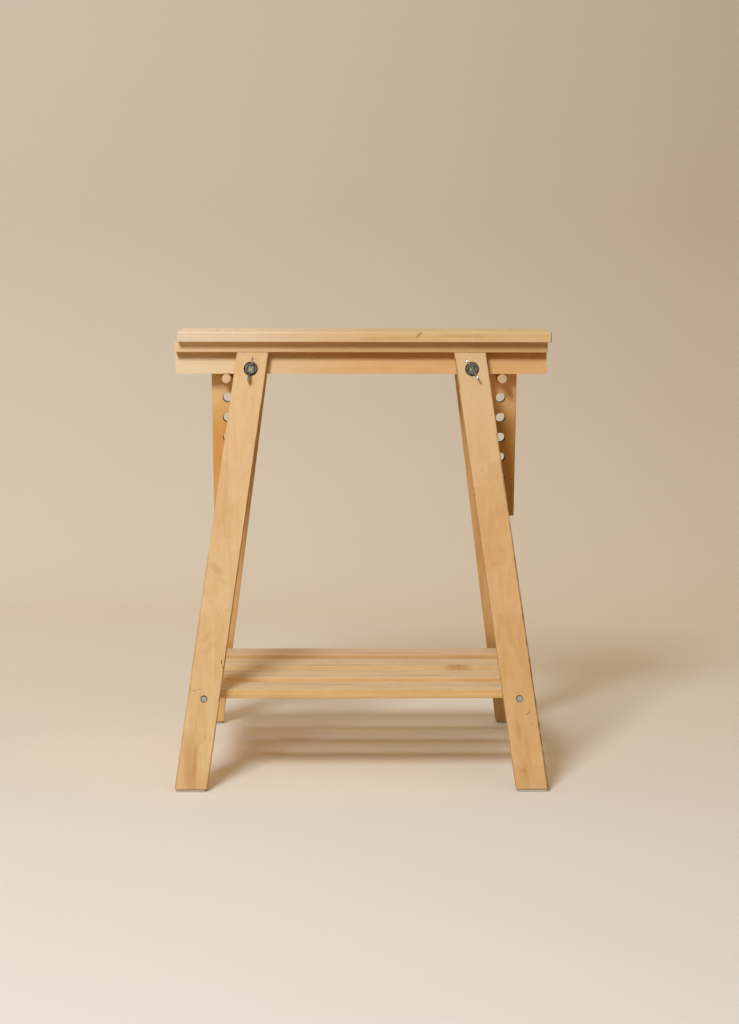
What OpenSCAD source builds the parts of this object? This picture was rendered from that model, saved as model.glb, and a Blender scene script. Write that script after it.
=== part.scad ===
// Height-adjustable wooden trestle with a slatted shelf.
// Two leaning frames, each a rail on two splayed legs, stand back to back.
// A lifting top slides between them on two hole boards, and pegs and clamp bolts hold it.
// The floor is z = 0, the front is -Y, and the origin lies on the floor midway between the four feet.

/* [Lifting top] */
// Length of the top
top_len = 600; // [520:10:680]
// Width of the top, front to back
top_w = 120; // [104:2:150]
// Thickness of the top
top_t = 16; // [13:1:22]
// How far the top sits off the middle in its slot
top_shift = 5; // [-8:1:8]

/* [Hole boards] */
// Distance of a hole board's middle from a leg's middle, at the legs' tops
hole_board_off = 48.5; // [44:0.5:62]
// Thickness of a hole board
hole_board_t = 18; // [14:1:22]
// Width of a hole board under the top
hole_board_w = 53; // [46:1:58]
// Width of a hole board at its lower end
hole_board_end_w = 47; // [36:1:52]
// Distance between neighbouring peg holes
hole_pitch = 32.8; // [26:0.2:34]
// Number of peg holes in a hole board
hole_count = 7; // [4:1:7]
// Wood left below the lowest peg hole, from its middle
hole_end = 31; // [20:1:60]

/* [Pegs] */
// Diameter of a peg
peg_d = 15; // [10:1:17]
// Length of a peg
peg_len = 90; // [70:1:110]
// Bevel on a peg's ends
peg_bevel = 1.2; // [0.4:0.2:2]
// Clearance round a peg in its hole
peg_gap = 0.3; // [0.2:0.1:0.6]
// Clearance between a peg and the rail above it
peg_drop = 0.5; // [0.4:0.1:2]

/* [Frames] */
// Height of the legs' tops above the floor
frame_h = 677; // [620:1:720]
// Lean of each frame from upright, in degrees
frame_lean = 15.25; // [12:0.25:18]
// Splay of the legs within their frame, in degrees
leg_splay = 7.6; // [5:0.1:9]
// Distance of a leg's middle from the trestle's middle, at its top
leg_top_x = 174.5; // [165:0.5:178]
// Width of a leg
leg_w = 50; // [44:1:56]
// Thickness of a leg
leg_t = 18; // [16:1:22]
// Length of the rails and cap strips
rail_len = 600; // [560:10:680]
// Height of a rail
rail_h = 35; // [32:1:48]
// Thickness of a rail
rail_t = 18; // [16:1:22]
// Thickness of a cap strip
cap_t = 17; // [12:1:22]
// Clearance on each side of a hole board in the slot between the rails
slot_gap = 0.6; // [0.3:0.1:1.5]
// Radius of the boards' long edges
edge_r = 1.5; // [0.5:0.25:2.5]
// Radius of the edges at the boards' ends
end_r = 0.8; // [0.4:0.1:1.5]

/* [Feet] */
// Thickness of a foot pad
pad_t = 5; // [3:0.5:8]
// How far a pad lies inside the leg's edges
pad_inset = 2; // [1:0.5:4]

/* [Clamp bolts] */
// Diameter of a clamp bolt
bolt_d = 8; // [6:1:8]
// Length of a clamp bolt under its head
bolt_len = 110; // [108:1:114]
// Distance of a clamp bolt below the legs' tops
bolt_drop = 26; // [19:1:27]
// Diameter of a clamp bolt's domed head
bolt_head_d = 19; // [17:0.5:20]
// Height of a clamp bolt's domed head
bolt_head_h = 4.5; // [3:0.5:5]
// Length of the square neck under the head
bolt_neck_h = 5; // [3:0.5:6]
// Diameter of the counterbored seats for heads and washers
seat_d = 22; // [20.5:0.5:24]
// Least depth of those seats
seat_depth = 2; // [1:0.25:3]
// Diameter of a washer
washer_d = 18; // [16:0.5:20]
// Thickness of a washer
washer_t = 1.6; // [1:0.2:2]
// Clearance round a bolt in the wood and in its washer
bolt_gap = 0.3; // [0.2:0.1:0.6]
// Clearance between a thread and its nut
thread_gap = 0.05; // [0.02:0.01:0.08]

/* [Wing nuts] */
// Span over the wings
wing_span = 39; // [36:1:42]
// Thickness of the wings
wing_t = 2.6; // [2:0.2:4]
// Height of the nut's round body
nut_h = 9; // [7:0.5:10]
// Diameter of the nut's round body at its base
nut_d = 16; // [14:0.5:16]
// Diameter of the nut's round body at its top
nut_top_d = 12.5; // [11:0.5:13]
// Height of the middle of a wing's round tip above the nut's base
wing_rise = 17; // [14.5:0.5:17]
// Radius of a wing's round tip
wing_tip_r = 4; // [3:0.1:4.2]
// Turn of the left wing nut from upright, in degrees
left_wing_turn = 12.5; // [-90:0.5:90]
// Turn of the right wing nut from upright, in degrees
right_wing_turn = -33; // [-90:0.5:90]

/* [Shelf] */
// Height of the shelf's upper side above the floor
shelf_top_z = 148; // [130:1:220]
// Thickness of the slats and bearers
slat_t = 14; // [12:1:18]
// Width of a slat
slat_w = 56; // [50:1:60]
// Distance of the outer slats' long edges from the bearers' ends
slat_end = 14.4; // [10:0.2:18]
// Number of slats
slat_count = 4; // [4:1:4]
// Width of a bearer
bearer_w = 20; // [18:1:24]
// Diameter of a slat dowel
slat_dowel_d = 6; // [5:1:8]
// Length of a slat dowel
slat_dowel_len = 30; // [24:1:36]
// Depth of a slat dowel in the bearer
slat_dowel_depth = 12; // [8:1:14]
// Distance of the slat dowels from a slat's middle
slat_dowel_x = 12; // [10:1:18]

/* [Shelf bolts] */
// Diameter of a shelf bolt
shelf_bolt_d = 6; // [5:1:6]
// Length of a shelf bolt under its head
shelf_bolt_len = 40; // [38:1:41]
// Diameter of a shelf bolt's head
shelf_head_d = 10; // [9:0.5:12]
// Height of a shelf bolt's head
shelf_head_h = 3; // [2:0.25:4]
// Width across the flats of the hexagon socket
socket_af = 4; // [3:0.5:5]
// Depth of the hexagon socket
socket_depth = 2; // [1:0.25:2.5]
// Least depth of the seat for a shelf bolt's head
shelf_seat_depth = 1.2; // [0.8:0.1:2]
// Clearance round a shelf bolt's head in its seat
shelf_seat_gap = 0.4; // [0.3:0.1:1]
// Diameter of a barrel nut
barrel_d = 10; // [9:0.5:11]
// Distance of a barrel nut from the bearer's end
barrel_inset = 18; // [16:1:19]
// Wood left above a barrel nut
barrel_skin = 1; // [0.5:0.25:2]
// Clearance round a barrel nut
barrel_gap = 0.1; // [0.05:0.05:0.3]

/* [Dowels and screws] */
// Diameter of a frame dowel
frame_dowel_d = 8; // [6:1:8]
// Length of a frame dowel
frame_dowel_len = 26; // [20:1:28]
// Distance of a frame dowel from the leg's middle
frame_dowel_x = 17; // [16.5:0.5:18.5]
// Distance of a frame dowel below the legs' tops, along the slope
frame_dowel_drop = 11; // [9:0.5:12]
// Clearance round a dowel or a screw
fix_gap = 0.05; // [0.03:0.01:0.1]
// Diameter of a top screw
top_screw_d = 4.5; // [4:0.5:5]
// Length of a top screw
top_screw_len = 50; // [40:1:55]
// Distance of the top screws from a hole board's middle
top_screw_x = 15; // [10:1:17]
// Diameter of a cap screw
cap_screw_d = 4; // [3.5:0.5:4.5]
// Length of a cap screw
cap_screw_len = 35; // [26:1:40]
// Distance of a cap screw from the middle plane between the frames
cap_screw_y = 21; // [20:0.5:23]
// Distance of the inner cap screws from the strip's middle
cap_screw_x = 90; // [60:5:120]
// Distance of the outer cap screws from the strip's ends
cap_screw_end = 50; // [25:1:55]
// Diameter of a screw head, as a share of the screw's diameter
head_ratio = 2; // [1.8:0.1:2]

/* [Hidden] */
$fn = 48;
// Side names: left and front are negative, right and back positive
LEFT = -1;
RIGHT = 1;
FRONT = -1;
BACK = 1;
SIDES = [LEFT, RIGHT];
FACES = [FRONT, BACK];
// Longer than the whole trestle, for cuts
far = 1200;
// How far a leg's bar runs past both of its level cuts
leg_over = 60;
// Overlap that keeps cuts clear of the faces they start from
cut = 0.5;
wood = [0.87, 0.69, 0.45];
light_wood = [0.91, 0.76, 0.55];
zinc = [0.68, 0.70, 0.71];
felt = [0.45, 0.44, 0.42];

// Runs of the leaning boards in the level direction
rail_run = rail_t / cos(frame_lean);
leg_run = leg_t / cos(frame_lean);
slot_half = hole_board_t / 2 + slot_gap;
// Distance from the middle plane of the joint between rail and leg, at the legs' tops
joint_y = slot_half + rail_run;
// Distance from the middle plane of a frame's planes at height z
function joint_y_at(z) = joint_y + (frame_h - z) * tan(frame_lean);
function face_y_at(z) = joint_y_at(z) + leg_run;
// Distance of a leg's middle line from the trestle's middle at height z
function leg_x_at(z) = leg_top_x + (frame_h - z) * tan(leg_splay) / cos(frame_lean);

// Length of a leg's bar between its level cuts
leg_len = frame_h / cos(frame_lean) / cos(leg_splay);

cap_w = rail_run + leg_run;
cap_top_z = frame_h + cap_t;
top_z = cap_top_z + top_t;
rail_bottom_z = frame_h - rail_h;

peg_z = rail_bottom_z - peg_drop - peg_d / 2;
hole_r = peg_d / 2 + peg_gap;
hole_board_x = leg_top_x + hole_board_off;
hole_board_bottom_z = peg_z - (hole_count - 1) * hole_pitch - hole_end;
hole_board_h = cap_top_z - hole_board_bottom_z;

bolt_z = frame_h - bolt_drop;
bolt_x = leg_x_at(bolt_z);
seat_y = face_y_at(bolt_z + seat_d / 2) - seat_depth;
bolt_hole_r = bolt_d / 2 + bolt_gap;
nut_y = seat_y + washer_t;

shelf_mid_z = shelf_top_z - slat_t / 2;
bearer_x = leg_x_at(shelf_mid_z);
slat_len = 2 * bearer_x - bearer_w;
slat_step = 2 * (joint_y_at(shelf_mid_z) - slat_end - slat_w / 2) / (slat_count - 1);
shelf_seat_r = shelf_head_d / 2 + shelf_seat_gap;
shelf_seat_y = face_y_at(shelf_mid_z + shelf_seat_r) - shelf_seat_depth;
barrel_y = joint_y_at(shelf_mid_z) - barrel_inset;
barrel_h = slat_t - 2 * barrel_skin;

function slat_y(i) = (i - (slat_count - 1) / 2) * slat_step;

// A board's section with rounded corners, centred
module board_section(w, t, r) {
    square([w - 2 * r, t], center = true);
    square([w, t - 2 * r], center = true);
    for (x = [-1, 1], y = [-1, 1]) {
        translate([x * (w / 2 - r), y * (t / 2 - r)]) circle(r = r);
    }
}

// A level board along X, centred
module level_board(len, w, t, r) {
    rotate([90, 0, 90]) linear_extrude(height = len, center = true) board_section(w, t, r);
}

// A level board whose ends are eased too
module eased_board(len, w, t, r) {
    intersection() {
        level_board(len, w, t, r);
        linear_extrude(height = 2 * t, center = true) board_section(len, w, end_r);
        rotate([90, 0, 0]) linear_extrude(height = 2 * w, center = true) board_section(len, t, end_r);
    }
}

// Everything between two heights
module between_heights(low, high) {
    translate([-far / 2, -far / 2, low]) cube([far, far, high - low]);
}

// Everything between the inner planes of the front and back legs
module between_legs() {
    rotate([90, 0, 90]) linear_extrude(height = far, center = true) polygon([
        [-joint_y_at(0), 0], [joint_y_at(0), 0],
        [joint_y, frame_h], [-joint_y, frame_h]
    ]);
}

// Turns what is modelled at the front to the named face
module at_face(face) {
    mirror([0, face == BACK ? 1 : 0, 0]) children();
}

// Puts children on the front frame: x across, y up the slope, z outwards, origin on the leg-to-rail joint
module on_frame() {
    translate([0, -joint_y, frame_h]) rotate([90 - frame_lean, 0, 0]) children();
}

// A bar along a leg's middle line on the front frame, longer than the leg at both ends
module leg_bar(side, w, t, r) {
    on_frame() translate([side * leg_top_x, 0, leg_t / 2]) rotate([0, 0, side * leg_splay])
        translate([0, leg_over, 0]) rotate([90, 0, 0])
            linear_extrude(height = leg_len + 2 * leg_over) board_section(w, t, r);
}

// A cylinder along Y from one distance from the middle plane to another, towards the front
module front_bar(x, z, y_from, y_to, r) {
    translate([x, -y_from, z]) rotate([90, 0, 0]) cylinder(h = y_to - y_from, r = r);
}

// A countersunk wood screw, point down, with its head's upper face at the origin
module wood_screw(d, len, grow) {
    head_d = d * head_ratio;
    head_h = (head_d - d) / 2;
    translate([0, 0, -head_h]) cylinder(h = head_h, r1 = d / 2 + grow, r2 = head_d / 2 + grow);
    translate([0, 0, d - len]) cylinder(h = len - d - head_h / 2, r = d / 2 + grow);
    translate([0, 0, -len - grow]) cylinder(h = d + 2 * grow, r1 = d / 8 + grow, r2 = d / 2 + grow);
}

// The cross recess in a screw's head
module cross_recess(d) {
    arm = 0.6 * d;
    slot = 0.22 * d;
    deep = 0.45 * d;
    for (turn = [0, 90]) {
        rotate([0, 0, turn]) translate([-arm, -slot / 2, -deep]) cube([2 * arm, slot, 2 * deep]);
    }
}

// Places of the screws through the top into one hole board
module at_top_screws(side) {
    for (step = [-1, 1]) {
        translate([side * hole_board_x + top_shift + step * top_screw_x, 0, top_z]) children();
    }
}

// Places of the screws through one cap strip into its rail
module at_cap_screws(face) {
    for (side = SIDES, x = [cap_screw_x, rail_len / 2 - cap_screw_end]) {
        translate([side * x, face * cap_screw_y, cap_top_z]) children();
    }
}

// Places of the dowels between a leg and its rail, on the front frame
module at_frame_dowels(side) {
    for (step = [-1, 1]) {
        on_frame() translate([side * leg_top_x + step * frame_dowel_x, -frame_dowel_drop, 0]) children();
    }
}

// Places of the dowels between the slats and one bearer, pointing outwards
module at_slat_dowels(side) {
    for (i = [0 : slat_count - 1], step = [-1, 1]) {
        translate([
            side * (bearer_x - bearer_w / 2 + slat_dowel_depth),
            slat_y(i) + step * slat_dowel_x,
            shelf_mid_z
        ]) rotate([0, -side * 90, 0]) children();
    }
}

module top_board() {
    color(light_wood) difference() {
        translate([top_shift, 0, top_z - top_t / 2]) eased_board(top_len, top_w, top_t, edge_r);
        for (side = SIDES) {
            at_top_screws(side) wood_screw(top_screw_d, top_screw_len, fix_gap);
        }
    }
}

// A bar that gives a hole board its long edge on one side
module hole_board_edge(side) {
    taper = atan((hole_board_w - hole_board_end_w) / 2 / hole_board_h);
    translate([side * hole_board_w / 2, 0, cap_top_z]) rotate([0, side * taper, 0])
        translate([-side * hole_board_w, 0, 0])
            linear_extrude(height = far, center = true) board_section(2 * hole_board_w, hole_board_t, edge_r);
}

// A tapered board with its row of peg holes
module hole_board(side) {
    color(wood) difference() {
        translate([side * hole_board_x + top_shift, 0, 0]) intersection() {
            hole_board_edge(LEFT);
            hole_board_edge(RIGHT);
            between_heights(hole_board_bottom_z, cap_top_z);
        }
        for (i = [0 : hole_count - 1]) {
            front_bar(side * hole_board_x + top_shift, peg_z - i * hole_pitch, -far, far, hole_r);
        }
        at_top_screws(side) wood_screw(top_screw_d, top_screw_len, fix_gap);
    }
}

module top_screws() {
    color(zinc) for (side = SIDES) {
        at_top_screws(side) difference() {
            wood_screw(top_screw_d, top_screw_len, 0);
            cross_recess(top_screw_d);
        }
    }
}

module cap_strip(face) {
    color(wood) difference() {
        translate([0, face * (slot_half + cap_w / 2), frame_h + cap_t / 2])
            eased_board(rail_len, cap_w, cap_t, edge_r);
        at_cap_screws(face) wood_screw(cap_screw_d, cap_screw_len, fix_gap);
    }
}

module cap_screws() {
    color(zinc) for (face = FACES) {
        at_cap_screws(face) difference() {
            wood_screw(cap_screw_d, cap_screw_len, 0);
            cross_recess(cap_screw_d);
        }
    }
}

// A leaning rail with level upper and lower edges
module rail(face) {
    color(wood) difference() {
        at_face(face) intersection() {
            on_frame() translate([-rail_len / 2, -2 * rail_h, -rail_t]) cube([rail_len, 3 * rail_h, rail_t]);
            between_heights(rail_bottom_z, frame_h);
        }
        for (side = SIDES) {
            front_bar(side * bolt_x, bolt_z, -far, far, bolt_hole_r);
            at_face(face) at_frame_dowels(side)
                cylinder(h = frame_dowel_len + 2 * fix_gap, r = frame_dowel_d / 2 + fix_gap, center = true);
        }
        at_cap_screws(face) wood_screw(cap_screw_d, cap_screw_len, fix_gap);
    }
}

// A leg with the seats and holes for its bolts and dowels
module leg(side, face) {
    color(light_wood) at_face(face) difference() {
        intersection() {
            leg_bar(side, leg_w, leg_t, edge_r);
            between_heights(pad_t, frame_h);
        }
        front_bar(side * bolt_x, bolt_z, 0, far, bolt_hole_r);
        front_bar(side * bolt_x, bolt_z, seat_y, far, seat_d / 2);
        front_bar(side * bearer_x, shelf_mid_z, 0, far, shelf_bolt_d / 2 + bolt_gap);
        front_bar(side * bearer_x, shelf_mid_z, shelf_seat_y, far, shelf_seat_r);
        at_frame_dowels(side)
            cylinder(h = frame_dowel_len + 2 * fix_gap, r = frame_dowel_d / 2 + fix_gap, center = true);
        if (face == BACK) {
            bolt_neck(side, bolt_neck_h + cut, bolt_d + 2 * fix_gap);
        }
    }
}

// The square neck of a clamp bolt, as seen when its head is at the front
module bolt_neck(side, len, w) {
    translate([side * bolt_x - w / 2, -seat_y, bolt_z - w / 2]) cube([w, len, w]);
}

module frame_dowels() {
    color(light_wood) for (face = FACES, side = SIDES) {
        at_face(face) at_frame_dowels(side)
            cylinder(h = frame_dowel_len, r = frame_dowel_d / 2, center = true);
    }
}

// A pad that carries on a leg down to the floor
module foot_pad(side, face) {
    color(felt) at_face(face) intersection() {
        leg_bar(side, leg_w - 2 * pad_inset, leg_t - 2 * pad_inset, edge_r);
        between_heights(0, pad_t);
    }
}

// A domed bolt from the back leg to its wing nut
module clamp_bolt(side) {
    dome_r = (pow(bolt_head_d / 2, 2) + pow(bolt_head_h, 2)) / (2 * bolt_head_h);
    tip_y = bolt_len - seat_y;
    color(zinc) {
        front_bar(side * bolt_x, bolt_z, -seat_y - cut, tip_y - bolt_d / 8, bolt_d / 2);
        translate([side * bolt_x, -tip_y + bolt_d / 8, bolt_z]) rotate([90, 0, 0])
            cylinder(h = bolt_d / 8, r1 = bolt_d / 2, r2 = bolt_d * 3 / 8);
        at_face(BACK) {
            bolt_neck(side, bolt_neck_h, bolt_d);
            intersection() {
                translate([side * bolt_x, dome_r - bolt_head_h - seat_y, bolt_z])
                    sphere(r = dome_r, $fn = 96);
                front_bar(side * bolt_x, bolt_z, seat_y, seat_y + bolt_head_h, bolt_head_d / 2);
            }
        }
    }
}

module washer(side) {
    color(zinc) difference() {
        front_bar(side * bolt_x, bolt_z, seat_y, nut_y, washer_d / 2);
        front_bar(side * bolt_x, bolt_z, 0, far, bolt_hole_r);
    }
}

// One wing's outline: x away from the nut's axis, y above the nut's base
module wing_outline() {
    tip_x = wing_span / 2 - wing_tip_r;
    root_h = nut_h / 3;
    low_turn = 35;
    high_turn = 20;
    hollow_x = tip_x + wing_tip_r / 3;
    difference() {
        union() {
            translate([tip_x, wing_rise]) circle(r = wing_tip_r);
            polygon([
                [nut_top_d / 4, root_h], [nut_top_d / 2, root_h],
                [tip_x + wing_tip_r * sin(low_turn), wing_rise - wing_tip_r * cos(low_turn)],
                [tip_x - wing_tip_r * cos(high_turn), wing_rise + wing_tip_r * sin(high_turn)],
                [nut_top_d / 4, nut_h]
            ]);
        }
        translate([hollow_x, 0]) circle(r = wing_rise - wing_tip_r);
    }
}

// A wing nut along +Z with its base at the origin and its wings along X
module wing_nut_shape() {
    difference() {
        union() {
            cylinder(h = nut_h, r1 = nut_d / 2, r2 = nut_top_d / 2);
            for (turn = [0, 180]) {
                rotate([0, 0, turn]) translate([0, wing_t / 2, 0]) rotate([90, 0, 0])
                    linear_extrude(height = wing_t) wing_outline();
            }
        }
        cylinder(h = far, r = bolt_d / 2 + thread_gap, center = true);
    }
}

module wing_nut(side) {
    turn = side == LEFT ? left_wing_turn : right_wing_turn;
    color(zinc) translate([side * bolt_x, -nut_y, bolt_z]) rotate([90, 90 + turn, 0]) wing_nut_shape();
}

module peg(side) {
    peg_r = peg_d / 2;
    end_r = peg_r - peg_bevel;
    color(light_wood) translate([side * hole_board_x + top_shift, peg_len / 2, peg_z]) rotate([90, 0, 0]) {
        cylinder(h = peg_bevel, r1 = end_r, r2 = peg_r);
        translate([0, 0, peg_bevel]) cylinder(h = peg_len - 2 * peg_bevel, r = peg_r);
        translate([0, 0, peg_len - peg_bevel]) cylinder(h = peg_bevel, r1 = peg_r, r2 = end_r);
    }
}

// The barrel nuts' places in one bearer
module at_barrel_nuts(side) {
    for (face = FACES) {
        translate([side * bearer_x, face * barrel_y, shelf_top_z - barrel_skin]) children();
    }
}

module shelf_bearer(side) {
    color(wood) difference() {
        intersection() {
            translate([side * bearer_x, 0, shelf_mid_z]) rotate([0, 0, 90])
                level_board(far, bearer_w, slat_t, edge_r / 2);
            between_legs();
        }
        for (face = FACES) {
            at_face(face)
                front_bar(side * bearer_x, shelf_mid_z, shelf_seat_y - shelf_bolt_len - cut, far,
                    shelf_bolt_d / 2 + bolt_gap);
        }
        at_barrel_nuts(side)
            translate([0, 0, -slat_t]) cylinder(h = slat_t, r = barrel_d / 2 + barrel_gap);
        at_slat_dowels(side)
            translate([0, 0, -fix_gap]) cylinder(h = slat_dowel_len, r = slat_dowel_d / 2 + fix_gap);
    }
}

// A shelf slat, numbered from the front
module shelf_slat(number) {
    color(wood) difference() {
        translate([0, slat_y(number - 1), shelf_mid_z]) level_board(slat_len, slat_w, slat_t, edge_r);
        for (side = SIDES) {
            at_slat_dowels(side)
                translate([0, 0, fix_gap]) cylinder(h = slat_dowel_len, r = slat_dowel_d / 2 + fix_gap);
        }
    }
}

module shelf_dowels() {
    color(light_wood) for (side = SIDES) {
        at_slat_dowels(side) cylinder(h = slat_dowel_len, r = slat_dowel_d / 2);
    }
}

// A bolt with a round head and a hexagon socket, head at the front
module shelf_bolt(side) {
    tip_y = shelf_seat_y - shelf_bolt_len;
    head_y = shelf_seat_y + shelf_head_h;
    difference() {
        union() {
            front_bar(side * bearer_x, shelf_mid_z, tip_y, shelf_seat_y + cut, shelf_bolt_d / 2);
            front_bar(side * bearer_x, shelf_mid_z, shelf_seat_y, head_y, shelf_head_d / 2);
        }
        translate([side * bearer_x, socket_depth - head_y, shelf_mid_z]) rotate([90, 0, 0])
            cylinder(h = socket_depth + cut, r = socket_af / 2 / cos(30), $fn = 6);
    }
}

module shelf_bolts() {
    color(zinc) for (face = FACES, side = SIDES) {
        at_face(face) shelf_bolt(side);
    }
}

module shelf_barrel_nuts() {
    color(zinc) for (side = SIDES) {
        difference() {
            at_barrel_nuts(side)
                translate([0, 0, -barrel_h]) cylinder(h = barrel_h, r = barrel_d / 2);
            front_bar(side * bearer_x, shelf_mid_z, -far, far, shelf_bolt_d / 2 + thread_gap);
        }
    }
}

top_board();
hole_board(LEFT);  // hole_board_left
hole_board(RIGHT);  // hole_board_right
top_screws();
cap_strip(FRONT);  // cap_strip_front
cap_strip(BACK);  // cap_strip_back
cap_screws();
rail(FRONT);  // rail_front
rail(BACK);  // rail_back
leg(LEFT, FRONT);  // leg_front_left
leg(RIGHT, FRONT);  // leg_front_right
leg(LEFT, BACK);  // leg_back_left
leg(RIGHT, BACK);  // leg_back_right
frame_dowels();
foot_pad(LEFT, FRONT);  // foot_pad_front_left
foot_pad(RIGHT, FRONT);  // foot_pad_front_right
foot_pad(LEFT, BACK);  // foot_pad_back_left
foot_pad(RIGHT, BACK);  // foot_pad_back_right
clamp_bolt(LEFT);  // clamp_bolt_left
clamp_bolt(RIGHT);  // clamp_bolt_right
washer(LEFT);  // washer_left
washer(RIGHT);  // washer_right
wing_nut(LEFT);  // wing_nut_left
wing_nut(RIGHT);  // wing_nut_right
peg(LEFT);  // peg_left
peg(RIGHT);  // peg_right
shelf_bearer(LEFT);  // shelf_bearer_left
shelf_bearer(RIGHT);  // shelf_bearer_right
shelf_slat(1);  // shelf_slat_1
shelf_slat(2);  // shelf_slat_2
shelf_slat(3);  // shelf_slat_3
shelf_slat(4);  // shelf_slat_4
shelf_dowels();
shelf_bolts();
shelf_barrel_nuts();
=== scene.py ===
import math

import bmesh
import bpy
from mathutils import Matrix, Vector, noise


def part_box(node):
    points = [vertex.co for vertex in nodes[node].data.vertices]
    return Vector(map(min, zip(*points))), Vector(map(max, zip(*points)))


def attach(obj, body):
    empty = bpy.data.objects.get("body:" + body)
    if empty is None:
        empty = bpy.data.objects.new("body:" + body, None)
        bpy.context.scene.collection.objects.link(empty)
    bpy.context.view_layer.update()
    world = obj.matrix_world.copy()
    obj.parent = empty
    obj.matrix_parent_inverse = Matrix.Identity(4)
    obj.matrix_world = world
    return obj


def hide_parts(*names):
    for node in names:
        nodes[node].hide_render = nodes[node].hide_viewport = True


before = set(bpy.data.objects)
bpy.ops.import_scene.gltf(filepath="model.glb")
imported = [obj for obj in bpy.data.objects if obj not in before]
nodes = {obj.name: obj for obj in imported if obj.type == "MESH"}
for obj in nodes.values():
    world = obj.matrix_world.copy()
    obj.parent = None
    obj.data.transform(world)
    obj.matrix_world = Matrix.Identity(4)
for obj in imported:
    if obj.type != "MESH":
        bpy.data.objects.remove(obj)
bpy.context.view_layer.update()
MM = 0.001
X_AXIS, Y_AXIS, Z_AXIS = (1, 0, 0), (0, 1, 0), (0, 0, 1)
FACES = (("front", -1), ("back", 1))
SIDES = (("left", -1), ("right", 1))

# The camera, fitted to the photograph's edges: millimetres of film, metres, and degrees
LENS, SENSOR = 71.93, 36.0
CAMERA_AT = (-0.02968, -3.34364, 0.88796)
CAMERA_YAW, CAMERA_DOWN, CAMERA_ROLL = -0.7496, 8.119, 0.1175


def link(thing):
    bpy.context.scene.collection.objects.link(thing)


def make_camera():
    data = bpy.data.cameras.new("camera")
    data.lens = LENS
    data.sensor_width = SENSOR
    camera = bpy.data.objects.new("camera", data)
    camera.location = CAMERA_AT
    yaw = Matrix.Rotation(math.radians(CAMERA_YAW), 4, "Z")
    pitch = Matrix.Rotation(math.radians(90.0 - CAMERA_DOWN), 4, "X")
    roll = Matrix.Rotation(math.radians(CAMERA_ROLL), 4, "Z")
    camera.rotation_euler = (yaw @ pitch @ roll).to_euler()
    link(camera)
    bpy.context.scene.camera = camera


make_camera()
bpy.context.scene.view_settings.view_transform = "Standard"


def linear(red, green, blue):
    """A colour given as it looks on screen, 0 to 255, as the shader's linear values"""
    channels = []
    for value in (red, green, blue):
        v = value / 255.0
        # The sRGB curve
        channels.append(v / 12.92 if v <= 0.04045 else ((v + 0.055) / 1.055) ** 2.4)
    return (*channels, 1.0)


# Sockets of a Mix node that mixes colours
MIX_FACTOR, MIX_A, MIX_B, MIX_RESULT = 0, 6, 7, 2
# A glued piece's blurred edge
BLOCK_BLUR = 0.9 * MM
# A stroke fades out between these shares of its length and its width
STROKE_LONG, STROKE_WIDE = (0.2, 0.5), (0.2, 0.7)
# How far the fibres make its sides ragged, as a share of its width, and the fibre level that leaves them be
STROKE_RAGGED, STROKE_LEVEL = 0.5, 0.6


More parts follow.
